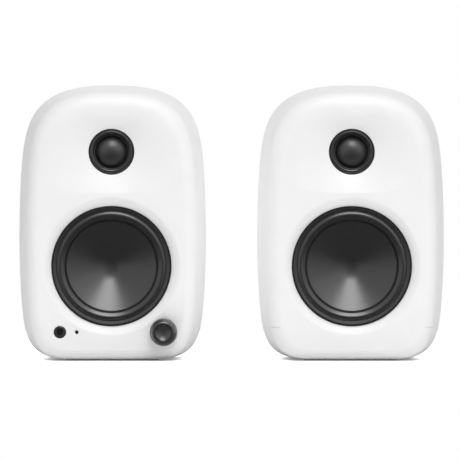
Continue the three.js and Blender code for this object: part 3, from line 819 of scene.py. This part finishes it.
def tweeter_edge(label):
    """A shallow rubber trough between the faceplate and the dome."""
    profiles = []
    for end in (11.45, 9.2):
        face = []
        for share in (i / 8 for i in range(9)):
            rise = TROUGH_RISE * (1 - math.cos(share * math.pi / 2))
            face.append((TROUGH + (end - TROUGH) * share, TROUGH_DEPTH - rise))
        profiles.append(face + [(radius, depth + 0.35) for radius, depth in reversed(face)])
    rubber_edge(label, "tweeter", "dome", "dome_edge", profiles, TWEETER_Z)


def mould_marks(steps=12):
    """Two short raised lines on the passive front, where its face turns into its sides."""
    across, lifts = (1, 0.6, 0, -0.6, -1), (-0.25, 0.16, 0.26, 0.16, -0.25)
    for side, inner, outer in (("left", -43.8, -50.3), ("right", 45.0, 50.3)):
        skin, rings = Skin(), []
        for step in range(steps + 1):
            x = inner + (outer - inner) * step / steps
            swell = math.sin(math.pi * (0.05 + 0.85 * (step / steps) ** 1.5)) ** 0.5
            depth = face_depth(x, MARK_Z)
            outline = [(x, MARK_Z + 0.55 * swell * t) for t in across]
            rings.append(skin.ring(outline, [depth - lift * swell for lift in lifts]))
        # the white insert's darker grey is painted shade along each ridge
        fit(f"passive_{side}_mould_mark", skin.solid(*rings), "passive",
            "white_insert_and_mark_shade", slot="white_moulding")


# ---- the front controls ----

def volume_knob():
    low, high, middle = extent("volume_knob")
    front = low.y
    bore = [(0, front + 2.4), (3.3, front + 2.4), (3.3, high.y)]
    foot = [(8.3, high.y), (8.5, high.y - 0.2), (8.5, high.y - 1.0), (8.35, high.y - 1.25)]
    shoulder = [
        (8.2, front + 4.9), (8.1, front + 4.4), (7.95, front + 3.9), (7.75, front + 3.3),
        (6.95, front + 1.15), (6.8, front + 0.82), (6.6, front + 0.6), (6.0, front + 0.2),
        (5.85, front + 0.1), (5.7, front + 0.04),
    ]
    groove = [
        (5.6, front + 0.08), (5.55, front + 0.25), (5.5, front + 1.3), (5.15, front + 1.35),
        (5.08, front + 0.45),
    ]
    dish = [(5.0 * step / 12, front + 2.0 - 1.67 * (step / 12) ** 2) for step in range(12, -1, -1)]
    profile = [*bore, *foot, *shoulder, *groove, *dish]
    skin = turned(Skin(), profile, middle.x, middle.z, 160)
    put("volume_knob_cap", skin, "active", "volume_knob_and_shaft", "knob_grey", "volume_knob")


def headphone_jack():
    skin = Skin()
    bushing = [
        (1.8, 0.9), (2.0, 0.25), (2.5, 0.1), (3.2, 0.1), (3.55, 0.35), (3.6, 0.9), (3.6, 6.0),
        (6.0, 6.0), (6.0, 13.9), (0, 13.9), (0, 12.5), (1.8, 12.5),
    ]
    turned(skin, bushing, JACK.x, JACK.z, 96)
    fit("headphone_bushing", skin, "active", "black_trim", "headphone_jack")


def status_light():
    lens = [(0, 0.15), (0.6, 0.2), (0.95, 0.45), (0.95, 6), (1.75, 6), (1.75, 13.9), (0, 13.9)]
    skin = turned(Skin(), lens, LIGHT.x, LIGHT.z, 48)
    fit("status_light_lens", skin, "active", "light_pipe", "status_light_pipe")


# ---- the rear panels and their fittings ----

def panel_holes(label):
    """(outline, None) for each hole through the rear panel."""
    port = extent(f"{label}_bass_port")[2]
    holes = [growing_circle(13.3, port.x, port.z)]
    holes += [growing_circle(1.7, x, z, 32) for x, z in screw_places()]
    block = extent(f"{label}_terminal_block")[2]
    holes.append(growing_rectangle(26.6, 22.6, 0.5, block.x, block.z))
    if label == "active":
        fittings = "line_input_sockets", "usb_socket", "pairing_button", "power_inlet"
        line, usb, button, inlet = (extent(node)[2] for node in fittings)
        switch = extent("power_switch_frame")[2]
        holes += [growing_circle(4.5, line.x, line.z + side * 7.5) for side in (-1, 1)]
        holes += [
            growing_circle(2.8, button.x, button.z, 40),
            growing_rectangle(9.6, 3.9, 1.6, usb.x, usb.z),
            growing_rectangle(22.6, 14.6, 0.5, inlet.x, inlet.z),
            growing_rectangle(19.6, 13.6, 0.5, switch.x, switch.z),
        ]
    return [(hole, None) for hole in holes]


def screw_places():
    x, z = (PANEL_HIGH.x - PANEL_LOW.x) / 2 - 4, (PANEL_HIGH.z - PANEL_LOW.z) / 2 - 4
    return [(sx * x, PANEL.z + sz * z) for sx in (-1, 1) for sz in (-1, 1)]


def rear_panel(label):
    size = PANEL_HIGH - PANEL_LOW
    outer = growing_rectangle(size.x, size.z, 7, z=PANEL.z)
    skin = slab(Skin(), outer, PANEL_LOW.y, PANEL_HIGH.y, panel_holes(label), edge=0.35)
    fit(f"{label}_panel", skin, label, "black_trim", f"{label}_rear_panel")
    for number, (x, z) in enumerate(screw_places(), 1):
        fit(f"{label}_panel_screw_{number}", panel_screw(x, z), label, "black_steel")


def panel_screw(x, z, steps=48):
    """A button-head screw with a hexagonal socket."""
    skin = Skin()
    base = PANEL_HIGH.y
    head = [
        (1.55, base - 6), (1.55, base), (3.0, base), (3.1, base + 0.35), (2.75, base + 1.0),
        (2.2, base + 1.35),
    ]
    rings = [skin.ring(circle(radius, steps, x, z), depth) for radius, depth in head]
    hexagon = []
    for i in range(steps):
        angle = 2 * math.pi * i / steps
        reach = 1.15 / math.cos((angle % (math.pi / 3)) - math.pi / 6)
        hexagon.append((x + reach * math.cos(angle), z + reach * math.sin(angle)))
    return skin.solid(*rings, skin.ring(hexagon, base + 1.4), skin.ring(hexagon, base + 0.2))


def bass_port(label):
    low, high, middle = extent(f"{label}_bass_port")
    end = high.y
    flare = [(11 + 4.2 * (1 - math.cos(math.radians(a))), end - 7 + 7 * math.sin(math.radians(a)))
             for a in range(0, 86, 6)]
    lip = [(16.2, end + 0.02), (16.7, end - 0.25), (17, end - 0.8), (17, FLANGE), (13, FLANGE)]
    inner_mouth = [
        (13, low.y + 1.2), (12.8, low.y + 0.2), (12.3, low.y), (11.6, low.y + 0.6),
        (11.1, low.y + 2.2),
    ]
    profile = [(11, low.y + 4), *flare, *lip, *inner_mouth]
    skin = turned(Skin(), profile, middle.x, middle.z, 128)
    fit(f"{label}_port", skin, label, "black_trim", f"{label}_bass_port")


def terminals(label):
    low, high, middle = extent(f"{label}_terminal_block")
    x, z = middle.x, middle.z
    outer = growing_rectangle(31, 26, 2, x, z)
    lever_floor, wire_floor = 136.2, 134
    wells = []
    for side in (-7, 7):
        wells.append((growing_rectangle(9.6, 11.9, 0.4, x + side, z + 4), lever_floor))
        wells.append((growing_circle(1.6, x + side, z - 6.5, 40), wire_floor))
    neck = (growing_rectangle(26, 22, 0.4, x, z), low.y)
    skin = slab(Skin(), outer, FLANGE, high.y, wells, edge=0.35, neck=neck)
    fit(f"{label}_terminals", skin, label, "black_trim", f"{label}_terminal_block")
    for tint in ("black", "red"):
        node = f"{label}_{tint}_terminal_lever"
        put(f"{label}_{tint}_lever_tab", lever(node), label, f"{label}_{tint}_lever",
            f"{tint}_lever", node)


def lever(node):
    """A spring terminal's tab, its edges rounded, with ribs for the thumb."""
    low, high, _ = extent(node)
    hinge_y, hinge_z = low.y + 1.6, high.z - 1.3
    ribs = []
    for i in range(4):
        at = 0.25 + 0.17 * i
        y, z = 1.6 + 3.0 * at, 1.3 - 8.9 * at
        ribs += [(y, z), (y + 0.42, z - 0.12), (y + 0.55, z - 0.5), (y + 0.18, z - 0.62)]
    side = [
        (-1.6, -1.6), (-1.6, 1.1), (-1.3, 1.3), (1.3, 1.3), *ribs, (4.5, -7.4), (4.45, -7.75),
        (3.2, -8.35),
    ]
    return soft_bar(side, low.x, high.x, lambda x, y, z: (x, hinge_y + y, hinge_z + z))


def inset_outline(outline, amount):
    """Each point drawn towards the outline's middle by about amount."""
    middle = Vector((sum(a for a, _ in outline), sum(b for _, b in outline))) / len(outline)
    return [tuple(Vector(p) + (middle - Vector(p)).normalized() * amount) for p in outline]


def soft_bar(side, near, far, corner, edge=0.3):
    """An outline drawn out from near to far, its ends softened. corner turns a distance
    along the bar and a pair of the outline into a point."""
    skin = Skin()
    steps = (near, edge), (near + edge, 0), (far - edge, 0), (far, edge)
    return skin.solid(*(
        skin.loop([corner(at, u, v) for u, v in inset_outline(side, inset)])
        for at, inset in steps
    ))


def flanged(node, well, floor, neck_width, neck_height):
    """A fitting with a flange on the panel, a well in it and a neck through the panel."""
    low, high, middle = extent(node)
    x, z = middle.x, middle.z
    outer = growing_rectangle(high.x - low.x, high.z - low.z, 2, x, z)
    neck = (growing_rectangle(neck_width, neck_height, 0.4, x, z), low.y)
    return slab(Skin(), outer, FLANGE, high.y, [(well, floor)], edge=0.4, neck=neck)


def power_inlet():
    _, high, middle = extent("power_inlet")
    x, z = middle.x, middle.z
    floor = 134.3

    def figure_eight(grow):
        """Two round ends, 8.6 mm apart, with a slight waist between them."""
        points = []
        for i in range(96):
            a = 2 * math.pi * i / 96
            px, pz = 8.3 * math.cos(a), 4.7 * math.sin(a)
            reach = math.hypot(px, pz)
            square = (abs(math.cos(a)) ** 4 + abs(math.sin(a)) ** 4) ** -0.25
            waist = 1 - 0.12 * math.exp(-((px / 1.6) ** 2))
            scale = (reach * (1 + (square - 1) * 0.5) + grow) / reach
            points.append((x + px * scale, z + pz * scale * waist))
        return points

    skin = flanged("power_inlet", figure_eight, floor, 22, 14)
    fit("power_inlet_socket", skin, "active", "black_trim", "power_inlet")
    for side, name in ((-4.3, "left"), (4.3, "right")):
        tip = high.y - 1.5
        pin = [(0, floor), (1.2, floor), (1.2, tip - 0.6), (1.0, tip - 0.15), (0.6, tip), (0, tip)]
        fit(f"power_inlet_pin_{name}", turned(Skin(), pin, x + side, z, 40), "active",
            "stamped_steel")


def power_switch():
    middle = extent("power_switch_frame")[2]
    well, floor = growing_rectangle(16.6, 10.6, 0.5, middle.x, middle.z), 131
    skin = flanged("power_switch_frame", well, floor, 19, 13)
    fit("power_switch_bezel", skin, "active", "black_trim", "power_switch_frame")
    put("power_rocker_cap", rocker(), "active", "power_rocker", "black_lever", "power_rocker")


def rocker():
    """A rocker with two dished faces, tilted to its first side as it is at rest."""
    middle = extent("power_rocker")[2]
    pivot, tilt = 138, math.radians(-8)
    face = [(7.4, 1.0), (7.4, 3.9), (7.1, 4.2)]
    for i in range(11):
        t = i / 10
        face.append((6.6 * (1 - t), 4.1 - 1.0 * t - 0.35 * math.sin(math.pi * t)))
    mirror = [(-u, v) for u, v in reversed(face[:-1])]
    side = [(5, -2.5), *face, *mirror, (-5, -2.5)]
    c, s = math.cos(tilt), math.sin(tilt)
    return soft_bar(side, -5, 5, lambda z, u, v: (
        middle.x + u * c - v * s, pivot + u * s + v * c, middle.z + z))


def line_inputs():
    low, high, middle = extent("line_input_sockets")
    x, z = middle.x, middle.z
    root, end = PANEL_LOW.y - GAP, high.y
    body = slab(Skin(), growing_rectangle(13, 29, 0.6, x, z), low.y, root, edge=0.3)
    fit("line_socket_body", body, "active", "black_trim", "line_input_sockets")
    for side, name, insert in ((-7.5, "right", "red_insert"), (7.5, "left", "white_insert_and_mark_shade")):
        shell = rounded([(3.55, root), (4.2, root), (4.2, end), (3.55, end)], 0.25)
        fit(f"line_socket_shell_{name}", turned(Skin(), shell, x, z + side, 96), "active",
            "stamped_steel")
        core = [
            (1.7, end - 7), (1.7, end - 0.7), (2.0, end - 0.4), (3.2, end - 0.4),
            (3.4, end - 0.7), (3.4, root), (1.7, root),
        ]
        fit(f"line_socket_insert_{name}", turned(Skin(), core, x, z + side, 80), "active",
            insert, slot="black_trim")


def usb_socket():
    low, high, middle = extent("usb_socket")
    x, z = middle.x, middle.z
    outer = growing_rectangle(9, 3.3, 1.5, x, z)
    well = growing_rectangle(8.3, 2.6, 1.2, x, z)
    skin = slab(Skin(), outer, low.y, high.y, [(well, low.y + 4)], edge=0.12)
    fit("usb_shell", skin, "active", "stamped_steel", "usb_socket")
    bar = growing_rectangle(6.4, 0.7, 0.2, x, z)
    tongue = slab(Skin(), bar, low.y + 4, high.y - 0.8, edge=0.15)
    fit("usb_tongue", tongue, "active", "black_trim")


def pairing_button():
    low, high, middle = extent("pairing_button")
    profile = [
        (0, low.y), (3.4, low.y), (3.4, low.y + 1.6), (2.5, low.y + 1.6), (2.5, high.y - 0.5),
        (2.35, high.y - 0.15), (2.0, high.y), (1.2, high.y - 0.15), (0, high.y - 0.22),
    ]
    skin = turned(Skin(), profile, middle.x, middle.z, 64)
    put("pairing_button_cap", skin, "active", "pairing_button", "black_lever", "pairing_button")


# ---- putting it together ----

def dress_cad_nodes():
    """Each CAD node gets its slot's material. The internal ones keep their CAD shape."""
    slots = {row["node"]: row["material_slot"] for row in frame["record"]["subparts"]}
    for name, node in frame["nodes"].items():
        node.data.materials.clear()
        node.data.materials.append(MATERIALS[slots[name]])


def build_speaker(label):
    shells = {
        "front_baffle": (front_baffle(label), "white_moulding"),
        "rear_cabinet": (rear_cabinet(label), "white_moulding"),
        "base_pad": (base_pad(label), "pad_rubber"),
    }
    for node, (piece, finish) in shells.items():
        place(piece, f"{label}_speaker", finish, f"{label}_{node}")
    woofer_basket(label)
    woofer_surround(label)
    woofer_cone(label)
    tweeter_plate(label)
    tweeter_dome(label)
    tweeter_edge(label)
    rear_panel(label)
    bass_port(label)
    terminals(label)


def build():
    dress_cad_nodes()
    for label in LABELS:
        build_speaker(label)
    volume_knob()
    headphone_jack()
    status_light()
    power_inlet()
    power_switch()
    line_inputs()
    usb_socket()
    pairing_button()
    mould_marks()


# ---- stage, light and camera ----

FLOOR_RADIUS = 1100


def make_floor():
    """White paper with a painted glow. To the camera it glows white, less where the speakers shade
    it (a painted contact shadow). To other rays a dimmer glow lights the speakers, with painted
    shade near them.
    """
    rim = [(x * MM, z * MM, 0.0) for x, z in circle(FLOOR_RADIUS)]
    mesh = bpy.data.meshes.new("floor")
    mesh.from_pydata(rim, [], [tuple(range(len(rim)))])
    floor = add_object("floor", mesh)
    floor.visible_glossy = False
    nodes = Nodes("floor_paper")
    # ambient occlusion turns the glow down: a painted contact shadow for the camera, and painted
    # shade in the light the floor gives
    near, wide = (
        nodes.add("ShaderNodeAmbientOcclusion", Distance=reach) for reach in (0.006, 0.08))
    camera_glow_painted_shadow = nodes.ramp(near.outputs["AO"], 0.16, 0.8, 0.05, 0.5)
    lighting_glow_painted_shade = nodes.ramp(wide.outputs["AO"], 0.0, 0.48, 0.45, 0.95)
    choice = nodes.add("ShaderNodeMix", {
        "Factor": nodes.add("ShaderNodeLightPath").outputs["Is Camera Ray"], "A": lighting_glow_painted_shade, "B": camera_glow_painted_shadow})
    mesh.materials.append(nodes.set(
        Base_Color=colour(0.9), Roughness=0.9, Specular_IOR_Level=0.1, Emission_Color=colour(1.0),
        Emission_Strength=choice.outputs["Result"]))


# The sky's brightness by how high a direction points, from -1 straight down to 1 straight
# up. LIGHT_SKY lights the object and MIRROR_SKY shows in its reflections, dimmed to
# DARK_FRONT ahead of the speakers.
LIGHT_SKY = ((-0.3, 0.0), (0.05, 0.28), (0.4, 0.28), (1.0, 0.61))
MIRROR_SKY = ((-0.3, 0.16), (0.0, 0.73), (1.0, 0.73))
DARK_FRONT = 0.35


def sky_ramp(tree, height, stops):
    """A grey by height, run straight between the stops."""
    spread = tree.nodes.new("ShaderNodeMapRange")
    spread.inputs["From Min"].default_value = -1.0
    tree.links.new(height, spread.inputs["Value"])
    ramp = tree.nodes.new("ShaderNodeValToRGB")
    tree.links.new(spread.outputs[0], ramp.inputs["Fac"])
    elements = ramp.color_ramp.elements
    while len(elements) < len(stops):
        elements.new(0.5)
    for element, (level, grey) in zip(elements, stops):
        element.position = (level + 1) / 2
        element.color = colour(grey)
    return ramp.outputs["Color"]


def make_world():
    """White to the camera, a soft sky for light, and a darker studio in reflections."""
    world = bpy.data.worlds.new("studio")
    bpy.context.scene.world = world
    world.use_nodes = True
    tree = world.node_tree
    new, link = tree.nodes.new, tree.links.new
    way, split = new("ShaderNodeTexCoord"), new("ShaderNodeSeparateXYZ")
    link(way.outputs["Generated"], split.inputs[0])
    front = new("ShaderNodeMapRange")
    front.interpolation_type = "SMOOTHSTEP"
    ends = {"From Min": -1.0, "From Max": -0.8, "To Min": DARK_FRONT, "To Max": 1.0}
    for socket, value in ends.items():
        front.inputs[socket].default_value = value
    link(split.outputs["Y"], front.inputs["Value"])

    path = new("ShaderNodeLightPath")
    output = next(n for n in tree.nodes if n.type == "OUTPUT_WORLD")
    light = next(n for n in tree.nodes if n.type == "BACKGROUND")
    mirror, backdrop = (new("ShaderNodeBackground") for _ in range(2))
    backdrop.inputs["Color"].default_value = (1, 1, 1, 1)
    link(sky_ramp(tree, split.outputs["Z"], LIGHT_SKY), light.inputs["Color"])
    link(sky_ramp(tree, split.outputs["Z"], MIRROR_SKY), mirror.inputs["Color"])
    link(front.outputs[0], mirror.inputs["Strength"])
    light.inputs["Strength"].default_value = 1.0
    shader = light.outputs[0]
    for ray, background in (("Is Glossy Ray", mirror), ("Is Camera Ray", backdrop)):
        mix = new("ShaderNodeMixShader")
        link(path.outputs[ray], mix.inputs["Fac"])
        link(shader, mix.inputs[1])
        link(background.outputs[0], mix.inputs[2])
        shader = mix.outputs[0]
    link(shader, output.inputs["Surface"])


def make_camera():
    """Square on to the fronts from far away, level with the middle of the picture."""
    distance, picture, level = 4.0, 0.2852, 0.0808
    camera = bpy.data.cameras.new("camera")
    camera.lens = camera.sensor_width * distance / picture
    camera.clip_start, camera.clip_end = 0.1, 20
    eye = add_object("camera", camera)
    eye.location = (-0.001, -distance - 0.045, level)
    eye.rotation_euler = (math.radians(90), 0, 0)
    bpy.context.scene.camera = eye


# Two lamps above the camera, and two small cards that fill the gap between the speakers.
LIGHTS = {
    # name: (place, aim, size, power), in metres and watts
    "key": ((0.16, -1.24, 2.28), (0, -0.07, 0.08), (1.4, 1.5), 37.5),
    "right_fill": ((1.47, -1.47, 1.55), (0, -0.07, 0.08), (1.8, 1.8), 5.8),
    "card_left": ((-0.0005, -0.01, 0.09), (-1, -0.01, 0.09), (0.12, 0.15), 0.0097),
    "card_right": ((0.0005, -0.01, 0.09), (1, -0.01, 0.09), (0.12, 0.15), 0.0153),
}


def make_lights():
    for name, (place_at, aim, size, power) in LIGHTS.items():
        light = bpy.data.lights.new(name, "AREA")
        light.shape = "RECTANGLE"
        light.size, light.size_y = size
        light.energy = power
        lamp = add_object(name, light)
        lamp.location = place_at
        lamp.rotation_euler = (Vector(aim) - Vector(place_at)).to_track_quat("-Z", "Y").to_euler()
        lamp.visible_camera = False
        lamp.visible_glossy = not name.startswith("card")


build()
make_floor()
make_world()
make_lights()
make_camera()
bpy.context.scene.view_settings.view_transform = "Standard"
